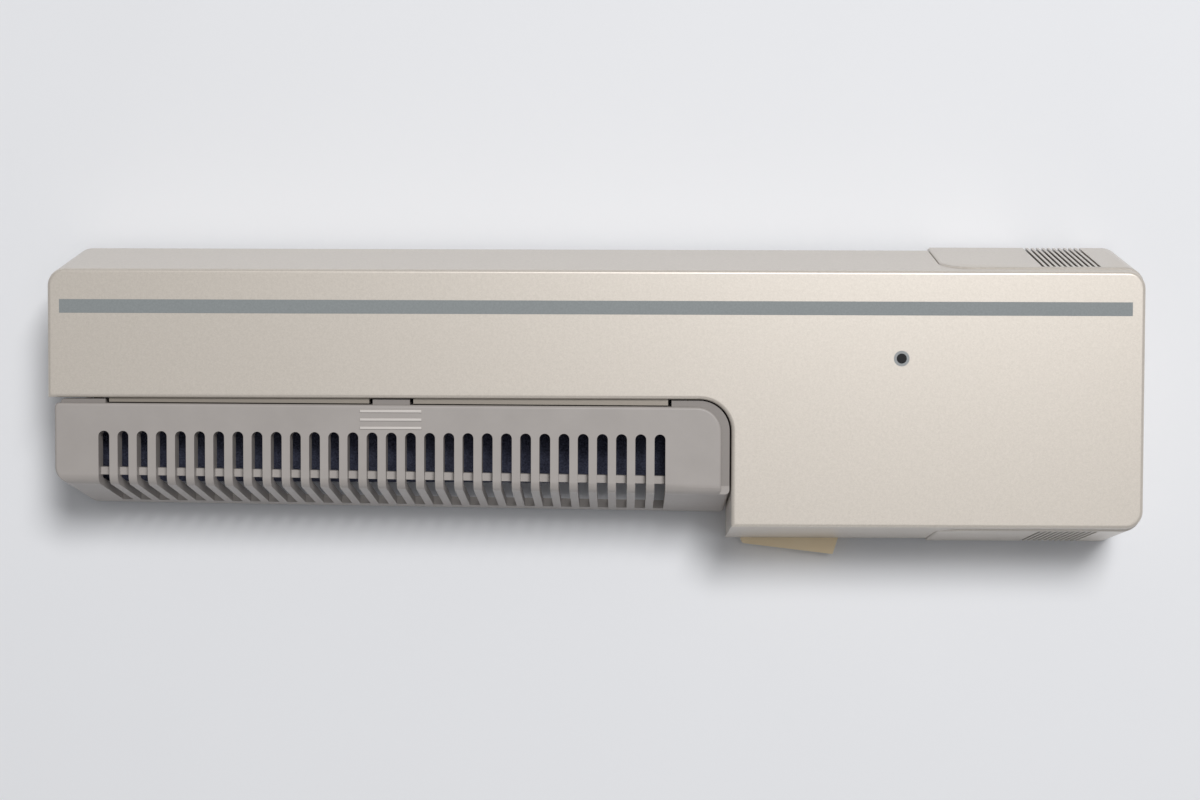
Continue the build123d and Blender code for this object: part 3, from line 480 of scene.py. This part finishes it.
@dataclass(frozen=True)
class TyreRubber:
    """Matt black rubber, a little dusty."""

    name: str = "tyre_rubber"
    light: Colour = (52, 52, 53)
    dark: Colour = (30, 30, 31)
    roughness: float = 0.72
    specular: float = 0.35
    dust_mm: float = 2.5
    dust_octaves: float = 5.0
    skin_mm: float = 0.15
    skin_octaves: float = 3.0
    skin_depth_mm: float = 0.02
    skin_strength: float = 0.4

    def material(self) -> bpy.types.Material:
        """Dust in soft patches, and a ground skin.

        Returns:
            The material.
        """
        shader = ShaderTree(
            self.name, Roughness=self.roughness, Specular_IOR_Level=self.specular
        )
        dust = shader.noise(self.dust_mm, self.dust_octaves)
        shader.paint(shader.blend(dust, self.dark, self.light))
        skin = shader.noise(self.skin_mm, self.skin_octaves)
        shader.bump(skin, self.skin_depth_mm, self.skin_strength)
        return shader.material


@dataclass(frozen=True)
class FlatCoat:
    """Thin even layer with no relief, such as screen-printed ink or the floor's paper."""

    name: str
    light: Colour
    dark: Colour
    roughness: float = 0.5
    specular: float = 0.22
    cloud_mm: float = 0.35
    cloud_octaves: float = 3.0

    def material(self) -> bpy.types.Material:
        """Faint unevenness in tone.

        Returns:
            The material.
        """
        shader = ShaderTree(
            self.name, Roughness=self.roughness, Specular_IOR_Level=self.specular
        )
        cloud = shader.noise(self.cloud_mm, self.cloud_octaves)
        shader.paint(shader.blend(cloud, self.dark, self.light))
        return shader.material


TAUPE = MouldedPlastic(
    "taupe_plastic",
    light=(168, 162, 158),
    dark=(163, 157, 153),
    roughness=0.42,
    bands=(
        # painted shade on the flange along the cover's back edge and down its right end
        Band((-160.0, FLANGE_CORNER), (-9.45, -7.5), FLANGE_Z, FLANGE_SHADE_TONE),
        Band((FLANGE_CORNER, -31.0), (-23.5, -7.5), FLANGE_Z, FLANGE_SHADE_TONE),
        # painted highlight on the tops of the thumb's ridges
        Band((-98.9, -87.5), (-13.3, -9.7), (27.06, 27.4), RIDGE_HIGHLIGHT_TONE),
    ),
)
CHARCOAL = MouldedPlastic("charcoal_plastic", (62, 61, 62), (52, 51, 52), 0.55)
CREAM = MouldedPlastic("cream_plastic", (246, 226, 190), (240, 218, 180), 0.36)
NYLON = MouldedPlastic("gear_nylon", (228, 225, 214), (218, 214, 202), 0.45)
SLEEVE = MouldedPlastic("cell_sleeve", (74, 84, 100), (62, 71, 86), 0.3)
ROLLED = SheetMetal("rolled_steel", (196, 196, 198), (168, 168, 171), 0.36, Grain.ALONG_X)
TURNED = SheetMetal("turned_steel", (204, 204, 206), (182, 182, 185), 0.24, Grain.ROUND_X, 0.15)
PLATED = SheetMetal("plated_spring", (214, 213, 208), (196, 195, 190), 0.22)
BRASS = SheetMetal("sintered_brass", (206, 170, 104), (186, 148, 84), 0.4)
STRIPE_INK = FlatCoat("stripe_ink", (142, 147, 148), (135, 140, 141))
RING_INK = FlatCoat("ring_ink", (158, 160, 161), (150, 153, 154))
DOT_INK = FlatCoat("dot_ink", (20, 20, 24), (13, 13, 17))
FLOOR = FlatCoat(
    "floor_paper",
    light=(236, 237, 240),
    dark=(235, 236, 239),
    roughness=0.85,
    specular=0.2,
    cloud_mm=60.0,
    cloud_octaves=2.0,
)


@dataclass(frozen=True)
class Finishes:
    """Every finish of the object, made once."""

    paint: bpy.types.Material
    cover: bpy.types.Material
    dark: bpy.types.Material
    cream: bpy.types.Material
    nylon: bpy.types.Material
    velvet: bpy.types.Material
    rubber: bpy.types.Material
    steel: bpy.types.Material
    shaft: bpy.types.Material
    spring: bpy.types.Material
    brass: bpy.types.Material
    sleeve: bpy.types.Material
    stripe: bpy.types.Material
    ring: bpy.types.Material
    dot: bpy.types.Material

    @classmethod
    def make(cls) -> "Finishes":
        """Makes all the materials.

        Returns:
            The finishes.
        """
        return cls(
            paint=SilverPaint().material(),
            cover=TAUPE.material(),
            dark=CHARCOAL.material(),
            cream=CREAM.material(),
            nylon=NYLON.material(),
            velvet=VelvetPile().material(),
            rubber=TyreRubber().material(),
            steel=ROLLED.material(),
            shaft=TURNED.material(),
            spring=PLATED.material(),
            brass=BRASS.material(),
            sleeve=SLEEVE.material(),
            stripe=STRIPE_INK.material(),
            ring=RING_INK.material(),
            dot=DOT_INK.material(),
        )


# Meshes

SAME_PLACE_MM = 0.0001


def grid_quads(rows: int, columns: int, close_rows: bool) -> np.ndarray:
    """Corner numbers of the quads of a grid of points stored row by row, whose rows are rings.

    Args:
        rows: number of rows.
        columns: number of points in a row.
        close_rows: whether the last row joins the first.

    Returns:
        One line of four corner numbers per quad.
    """
    row = np.arange(rows if close_rows else rows - 1)
    r, c = np.meshgrid(row, np.arange(columns), indexing="ij")
    here, there = r * columns, (r + 1) % rows * columns
    c_next = (c + 1) % columns
    corners = [here + c, here + c_next, there + c_next, there + c]
    return np.stack(corners, axis=-1).reshape(-1, 4)


def quad_mesh(name: str, points: np.ndarray, quads: np.ndarray, smooth: bool) -> bpy.types.Mesh:
    """Mesh from an array of points and one of quads. Points that coincide become one.

    Args:
        name: the mesh's name.
        points: places in millimetres, one line each.
        quads: four corner numbers per line.
        smooth: whether the faces shade as one curved surface.

    Returns:
        The mesh, in metres.
    """
    mesh = bpy.data.meshes.new(name)
    mesh.vertices.add(len(points))
    mesh.vertices.foreach_set("co", (points * MM).astype(np.float32).ravel())
    mesh.loops.add(quads.size)
    mesh.loops.foreach_set("vertex_index", quads.astype(np.int32).ravel())
    mesh.polygons.add(len(quads))
    mesh.polygons.foreach_set("loop_start", np.arange(0, quads.size, 4, dtype=np.int32))
    mesh.polygons.foreach_set("use_smooth", np.full(len(quads), smooth))
    mesh.update(calc_edges=True)
    work = bmesh.new()
    work.from_mesh(mesh)
    bmesh.ops.remove_doubles(work, verts=work.verts, dist=SAME_PLACE_MM * MM)
    work.to_mesh(mesh)
    work.free()
    mesh.validate()
    return mesh


def show(
    name: str, mesh: bpy.types.Mesh, body: str, material: bpy.types.Material
) -> bpy.types.Object:
    """Puts a new piece into the scene.

    Args:
        name: the piece's name.
        mesh: its mesh, already in place.
        body: the body that it rides on.
        material: its finish.

    Returns:
        The piece.
    """
    piece = bpy.data.objects.new(name, mesh)
    bpy.context.scene.collection.objects.link(piece)
    mesh.materials.clear()
    mesh.materials.append(material)
    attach(piece, body)
    log.info("%s: %d faces, on %s", name, len(mesh.polygons), body)
    return piece


def closed_film(outline: np.ndarray, low: float, high: float) -> Surface:
    """A flat film's closed surface: its outline at two heights, drawn in to the middle's point
    above and below.

    Args:
        outline: plan points in order, against the clock.
        low: height of its underside.
        high: height of its upper side.

    Returns:
        Points and quads.
    """
    middle = outline.mean(axis=0)
    shares = np.array([0.0, 1.0, 1.0, 0.0])
    heights = np.array([low, low, high, high])
    plan = middle + shares[:, None, None] * (outline[None, :, :] - middle)
    level = np.broadcast_to(heights[:, None, None], (len(shares), len(outline), 1))
    points = np.concatenate([plan, level], axis=2).reshape(-1, 3)
    return points, grid_quads(len(shares), len(outline), close_rows=False)


def turned_ring(profile: np.ndarray, steps: int) -> Surface:
    """A closed profile carried once round the Z axis: the point (r, z) at angle a lies at
    (r cos a, r sin a, z).

    Args:
        profile: radius and height of each profile point, with the clock.
        steps: number of places round the axis.

    Returns:
        Points and quads.
    """
    angle = np.linspace(0.0, FULL_TURN, steps, endpoint=False)[:, None]
    x = profile[None, :, 0] * np.cos(angle)
    y = profile[None, :, 0] * np.sin(angle)
    z = np.broadcast_to(profile[None, :, 1], x.shape)
    points = np.stack([x, y, z], axis=-1).reshape(-1, 3)
    return points, grid_quads(steps, len(profile), close_rows=True)


# CAD nodes

MERGE_MM = 0.001
FLAT_DEG = 0.02  # faces that turn by less than this become one
SHARP_DEG = 48.0  # edges that turn by more than this stay sharp, or are rounded
ROUNDING_STEPS = 2
AREA_WEIGHT = 80  # how far large faces lead the shading, from 1 to 100


def body_of(node: str) -> str:
    """Name of the body that carries a CAD node."""
    groups = frame["record"]["behaviour"]["bodies"]
    return next(body for body, nodes in groups.items() if node in nodes)


def dress(material: bpy.types.Material, *nodes: str) -> None:
    """Gives CAD nodes a finish.

    Args:
        material: the finish.
        nodes: the nodes' names.
    """
    for node in nodes:
        for holder in frame["nodes"][node].material_slots:
            holder.material = material
        log.info("%s: dressed with %s", node, material.name)


def refine(
    name: str, node: str, material: bpy.types.Material, edge_mm: float = 0.0
) -> bpy.types.Object:
    """Stands a merged and smoothly shaded copy in for a CAD node.

    Args:
        name: the copy's name.
        node: the node that it replaces.
        material: its finish.
        edge_mm: widest rounding along its sharp edges, or 0 for none. The clamp on overlaps holds
            it back on the whole piece: to a thousandth of a millimetre on the shell, and less on
            the cover and the lever. The tyres and wheels get it in full.

    Returns:
        The copy.
    """
    mesh = frame["nodes"][node].data.copy()
    mesh.name = name
    work = bmesh.new()
    work.from_mesh(mesh)
    bmesh.ops.remove_doubles(work, verts=work.verts, dist=MERGE_MM * MM)
    bmesh.ops.dissolve_limit(
        work,
        angle_limit=math.radians(FLAT_DEG),
        verts=work.verts,
        edges=work.edges,
        delimit={"MATERIAL"},
    )
    for face in work.faces:
        face.smooth = True
    for edge in work.edges:
        edge.smooth = edge.calc_face_angle(math.pi) < math.radians(SHARP_DEG)
    work.to_mesh(mesh)
    work.free()
    piece = show(name, mesh, body_of(node), material)
    if edge_mm > 0.0:
        rounding = piece.modifiers.new("edge_rounding", "BEVEL")
        rounding.width = edge_mm * MM
        rounding.segments = ROUNDING_STEPS
        rounding.limit_method = "ANGLE"
        rounding.angle_limit = math.radians(SHARP_DEG)
        rounding.use_clamp_overlap = True
    shading = piece.modifiers.new("even_shading", "WEIGHTED_NORMAL")
    shading.keep_sharp = True
    shading.weight = AREA_WEIGHT
    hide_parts(node)
    return piece


# Sub-assemblies


@dataclass
class Housing:
    """Painted shell with its printed stripe and spindle mark, base plate, hub and screws."""

    shell_edge: float = 0.25
    base_edge: float = 0.1
    face_height: float = 27.0
    ink: float = 0.03
    sunk: float = 0.02
    dot_lift: float = 0.005
    stripe_left: float = -153.8
    stripe_right: float = 41.9
    stripe_low: float = 7.86
    stripe_high: float = 10.36
    ring_radius: float = 1.42
    dot_radius: float = 0.92
    dot_overlap: float = 0.02  # how far the ring reaches in under the dot's edge
    round_steps: int = 96

    def stripe(self) -> Surface:
        """Rectangle of ink along the plain long edge.

        Returns:
            Points and quads.
        """
        x = [self.stripe_left, self.stripe_right, self.stripe_right, self.stripe_left]
        y = [self.stripe_low, self.stripe_low, self.stripe_high, self.stripe_high]
        outline = np.stack([np.array(x), np.array(y)], axis=1)
        return closed_film(outline, self.face_height - self.sunk, self.face_height + self.ink)

    def ring(self) -> Surface:
        """Ring of ink round the spindle's place, a rectangle (r, z) carried round it.

        Returns:
            Points and quads.
        """
        low = self.face_height - self.sunk
        high = self.face_height + self.ink
        inner = self.dot_radius - self.dot_overlap
        outer = self.ring_radius
        profile = np.array([[inner, high], [outer, high], [outer, low], [inner, low]])
        return turned_ring(profile, self.round_steps)

    def dot(self) -> Surface:
        """Dot of ink at the spindle's place, a circle of points (r cos a, r sin a).

        Returns:
            Points and quads.
        """
        angle = np.linspace(0.0, FULL_TURN, self.round_steps, endpoint=False)
        outline = self.dot_radius * np.stack([np.cos(angle), np.sin(angle)], axis=1)
        high = self.face_height + self.ink + self.dot_lift
        return closed_film(outline, self.face_height - self.sunk, high)

    def build(self, finishes: Finishes) -> None:
        """Dresses the housing.

        Args:
            finishes: the object's finishes.
        """
        refine("shell_skin", "top_shell", finishes.paint, self.shell_edge)
        refine("hub_skin", "spindle_hub", finishes.dark, self.base_edge)
        refine("base_skin", "base_plate", finishes.dark, self.base_edge)
        dress(finishes.shaft, "housing_screws")
        prints = (
            ("stripe_print", self.stripe(), finishes.stripe),
            ("ring_print", self.ring(), finishes.ring),
            ("dot_print", self.dot(), finishes.dot),
        )
        for name, surface, ink in prints:
            mesh = quad_mesh(name, *surface, smooth=False)
            show(name, mesh, "housing", ink)


@dataclass
class BrushUnit:
    """Louvred cover and the velvet roller under it."""

    cover_edge: float = 0.12
    axis_y: float = -16.4
    axis_z: float = 8.3
    radius: float = 8.0
    core_radius: float = 6.9
    left: float = -149.9
    right: float = -42.5
    core_inset: float = 0.2
    shoulder: float = 0.7
    pile: float = 0.16
    pile_softness: float = 0.28
    shoulder_steps: int = 7
    round_steps: int = 288
    long_steps: int = 270
    seed: int = 11

    def profile(self) -> tuple[np.ndarray, np.ndarray]:
        """The roller's closed half section (x, r): two points back along the core, then out along
        the pile between two shoulders, each a quarter circle of x = s(1 - cos a) and
        r = R - s(1 - sin a).

        Returns:
            Places along the axis, and radii.
        """
        turn = np.linspace(0.0, 0.5 * math.pi, self.shoulder_steps)
        bend_x = self.shoulder * (1.0 - np.cos(turn))
        bend_r = self.radius - self.shoulder * (1.0 - np.sin(turn))
        first, last = self.left + self.shoulder, self.right - self.shoulder
        middle = np.linspace(first, last, self.long_steps)[1:-1]
        core_x = [self.right - self.core_inset, self.left + self.core_inset]
        core_r = [self.core_radius, self.core_radius]
        x = np.concatenate([core_x, self.left + bend_x, middle, self.right - bend_x[::-1]])
        r = np.concatenate([core_r, bend_r, np.full(len(middle), self.radius), bend_r[::-1]])
        return x, r

    def velvet(self) -> Surface:
        """The closed section (x, r) carried round the roller's axis: the point at angle a lies at
        (x, y0 + r cos a, z0 + r sin a). Each point of the pile is drawn in by a smoothed random
        share of the pile's unevenness, so that tufts stand out from it.

        Returns:
            Points and quads.
        """
        x, r = self.profile()
        rough = np.random.default_rng(self.seed).random((self.round_steps, len(x)))
        for shift in ((1, 0), (-1, 0), (0, 1), (0, -1)):
            beside = np.roll(rough, shift, axis=(0, 1))
            rough = rough * (1.0 - self.pile_softness) + beside * self.pile_softness
        rough[:, :2] = 0.0  # the core's two points stay where they are
        angle = np.linspace(0.0, FULL_TURN, self.round_steps, endpoint=False)[:, None]
        radius = r[None, :] - self.pile * rough
        points = np.stack([
            np.broadcast_to(x[None, :], radius.shape),
            self.axis_y + radius * np.cos(angle),
            self.axis_z + radius * np.sin(angle),
        ], axis=-1).reshape(-1, 3)
        return points, grid_quads(self.round_steps, len(x), close_rows=True)[:, ::-1]

    def build(self, finishes: Finishes) -> None:
        """Dresses the cover and the roller.

        Args:
            finishes: the object's finishes.
        """
        refine("cover_skin", "brush_cover", finishes.cover, self.cover_edge)
        mesh = quad_mesh("velvet_pile", *self.velvet(), smooth=True)
        pile = show("velvet_pile", mesh, "brush", finishes.velvet)
        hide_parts("brush_velvet")
        refine("core_skin", "brush_core", finishes.dark)
        dress(finishes.shaft, "brush_axle")
        dress(finishes.nylon, "brush_gear")


@dataclass
class BatteryEnd:
    """Slide-off lid with its grip grooves, and the cells and contacts behind it."""

    edge: float = 0.1

    def build(self, finishes: Finishes) -> None:
        """Dresses the battery end.

        Args:
            finishes: the object's finishes.
        """
        refine("lid_skin", "battery_lid", finishes.paint, self.edge)
        refine("cell_skins", "battery_cells", finishes.sleeve, self.edge)
        dress(finishes.spring, "contact_plates", "contact_springs")


@dataclass
class DriveTrain:
    """Motor, belt, gears, axle and the wheels on the record."""

    wheel_edge: float = 0.1
    tyre_edge: float = 0.25
    idler_tyre_edge: float = 0.15

    def build(self, finishes: Finishes) -> None:
        """Dresses the drive.

        Args:
            finishes: the object's finishes.
        """
        refine("tyre_skin", "traction_tyre", finishes.rubber, self.tyre_edge)
        refine("wheel_skin", "wheel_hub", finishes.nylon, self.wheel_edge)
        refine("idler_tyre_skin", "idler_tyre", finishes.rubber, self.idler_tyre_edge)
        refine("idler_skin", "idler_wheel", finishes.nylon, self.wheel_edge)
        dress(finishes.nylon, "drive_gear", "transfer_gear", "belt_pulley")
        dress(finishes.rubber, "drive_belt")
        dress(finishes.steel, "gear_plate_left", "gear_plate_right", "motor_case")
        dress(finishes.shaft, "gear_shafts", "drive_axle", "idler_axle", "motor_shaft")
        dress(finishes.brass, "motor_pulley")


@dataclass
class SwitchLever:
    """Cream lever under the block's edge, its pin, spring and switch."""

    edge: float = 0.2

    def build(self, finishes: Finishes) -> None:
        """Dresses the lever.

        Args:
            finishes: the object's finishes.
        """
        refine("lever_skin", "switch_lever", finishes.cream, self.edge)
        dress(finishes.shaft, "lever_pivot_pin")
        dress(finishes.spring, "lever_spring")
        dress(finishes.dark, "leaf_switch")


# Studio


@dataclass(frozen=True)
class SoftLamp:
    """Square lamp over the object, with its power in watts."""

    name: str
    place: Place
    side: float
    power: float

    def hang(self, aim: Place) -> None:
        """Hangs the lamp so that it faces a place.

        Args:
            aim: the place.
        """
        light = bpy.data.lights.new(self.name, "AREA")
        light.size = self.side * MM
        light.energy = self.power
        lamp = bpy.data.objects.new(self.name, light)
        bpy.context.scene.collection.objects.link(lamp)
        lamp.location = [value * MM for value in self.place]
        direction = Vector(aim) - Vector(self.place)
        lamp.rotation_euler = direction.to_track_quat("-Z", "Y").to_euler()


@dataclass
class Studio:
    """Pale floor, soft lamps and the photograph's camera."""

    floor_half: float = 2500.0
    world_colour: Colour = (248, 249, 251)
    world_strength: float = 0.22
    lamps: tuple[SoftLamp, ...] = (
        SoftLamp("key_lamp", (160.0, 420.0, 1060.0), 320.0, 9.4),
        SoftLamp("front_lamp", (200.0, 120.0, 1500.0), 600.0, 1.5),
        SoftLamp("low_lamp", (-60.0, -900.0, 240.0), 400.0, 0.6),
    )
    aim: Place = (-56.0, -8.0, 10.0)
    camera_place: Place = (-50.961, 10.607, 452.485)
    camera_turn: tuple[float, float, float] = (-2.4686, 0.5445, 0.1808)  # degrees
    lens: float = 70.0
    sensor: float = 36.0
    clip: Span = (10.0, 20000.0)

    def floor(self) -> None:
        """Lays the floor at the record's surface."""
        half = self.floor_half
        corners = [[-half, -half, 0.0], [half, -half, 0.0], [half, half, 0.0], [-half, half, 0.0]]
        mesh = quad_mesh("floor", np.array(corners), np.array([[0, 1, 2, 3]]), smooth=False)
        mesh.materials.append(FLOOR.material())
        floor = bpy.data.objects.new("floor", mesh)
        bpy.context.scene.collection.objects.link(floor)

    def sky(self) -> None:
        """Lights the scene evenly from all round."""
        world = bpy.data.worlds.new("studio")
        world.use_nodes = True
        background = world.node_tree.nodes["Background"]
        background.inputs["Color"].default_value = linear(self.world_colour)
        background.inputs["Strength"].default_value = self.world_strength
        bpy.context.scene.world = world

    def camera(self) -> None:
        """Sets the camera where the photograph was taken from."""
        lens = bpy.data.cameras.new("photo_camera")
        lens.lens = self.lens
        lens.sensor_width = self.sensor
        lens.clip_start, lens.clip_end = (value * MM for value in self.clip)
        camera = bpy.data.objects.new("photo_camera", lens)
        bpy.context.scene.collection.objects.link(camera)
        camera.location = [value * MM for value in self.camera_place]
        camera.rotation_euler = [math.radians(value) for value in self.camera_turn]
        bpy.context.scene.camera = camera

    def build(self) -> None:
        """Sets up the studio."""
        self.floor()
        for lamp in self.lamps:
            lamp.hang(self.aim)
        self.sky()
        self.camera()
        bpy.context.scene.view_settings.view_transform = "Standard"


def main() -> None:
    """Builds the object's sub-assemblies in order, then the studio."""
    logging.basicConfig(level=logging.INFO, format="%(name)s: %(message)s")
    finishes = Finishes.make()
    for part in (Housing(), BrushUnit(), BatteryEnd(), DriveTrain(), SwitchLever()):
        part.build(finishes)
        log.info("%s is done", type(part).__name__)
    Studio().build()


if __name__ == "__main__":
    main()
